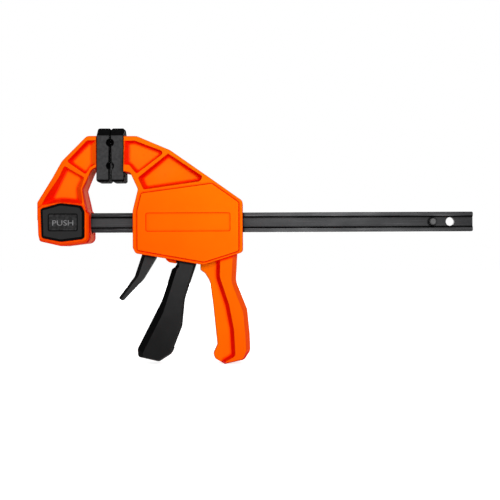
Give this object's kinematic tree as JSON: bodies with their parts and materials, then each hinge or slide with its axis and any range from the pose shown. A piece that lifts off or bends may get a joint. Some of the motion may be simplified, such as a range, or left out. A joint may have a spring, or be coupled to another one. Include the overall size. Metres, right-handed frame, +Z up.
{
  "type": "quick release bar clamp",
  "caption": "One-handed trigger bar clamp with an orange fixed jaw locked on a dark steel bar by a push button and an orange pistol-grip jaw with black trigger, release lever and rubber pads",
  "frame": {"origin": "where the bar's middle line, the parting plane of the mouldings and the plane in which the two pads meet cross, with the jaws closed", "axes": "+X along the bar, the way the moving jaw opens; +Y to the back, away from the release button; +Z up, from the bar towards the pads"},
  "size_m": [0.3527, 0.0365, 0.1919],
  "materials": {
    "orange_plastic": "orange glass-filled nylon, fine satin moulding texture",
    "black_plastic": "black glass-filled nylon, fine satin moulding texture",
    "black_rubber": "soft black rubber, lightly mottled",
    "bar_steel": "cold-drawn steel, blackened and oiled",
    "plated_steel": "zinc plated",
    "spring_steel": "oiled spring wire",
    "plate_steel": "hardened steel with ground edges",
    "guide_nylon": "self-lubricating black nylon"
  },
  "bodies": {
    "bar": {"bar": "bar_steel", "stop_pin": "plated_steel", "fixed_jaw": "orange_plastic", "fixed_pad": "black_rubber", "button_spring": "spring_steel"},
    "button": {"release_button": "black_plastic", "lock_pin": "plated_steel", "button_washer": "plated_steel", "button_screw": "plated_steel"},
    "moving_jaw": {"front_shell": "orange_plastic", "rear_shell": "orange_plastic", "moving_pad": "black_rubber", "casing_screws": "plated_steel", "front_guide": "guide_nylon", "rear_guide": "guide_nylon", "trigger_pin": "plated_steel", "drive_spring": "spring_steel", "brake_spring": "spring_steel"},
    "trigger": {"trigger": "black_plastic"},
    "drive": {"drive_plates": "plate_steel"},
    "brake": {"brake_plate": "plate_steel", "release_lever": "black_plastic"}
  },
  "joints": [
    {"name": "jaw_slide", "type": "slide", "parent": "bar", "child": "moving_jaw", "axis": [1, 0, 0], "range_m": [0, 0.15]},
    {"name": "trigger_pull", "type": "hinge", "parent": "moving_jaw", "child": "trigger", "pos_m": [0.062, 0, 0.0145], "axis": [0, -1, 0], "range_deg": [0, 16], "stiffness_Nm_per_rad": 4, "springref_deg": -5.73},
    {"name": "plate_feed", "type": "slide", "parent": "moving_jaw", "child": "drive", "axis": [1, 0, 0], "range_m": [0, 0.0053], "deforming": ["drive_spring"]},
    {"name": "release_pull", "type": "hinge", "parent": "moving_jaw", "child": "brake", "pos_m": [0.0388, 0, 0.022], "axis": [0, -1, 0], "range_deg": [0, 8], "stiffness_Nm_per_rad": 2, "springref_deg": -8.59, "deforming": ["brake_spring"]},
    {"name": "button_push", "type": "slide", "parent": "bar", "child": "button", "axis": [0, 1, 0], "range_m": [0, 0.0042], "stiffness_N_per_m": 600, "springref_m": -0.004, "deforming": ["button_spring"]}
  ],
  "couplings": [
    {"joint": "plate_feed", "follows": "trigger_pull", "m_per_rad": 0.0185}
  ]
}
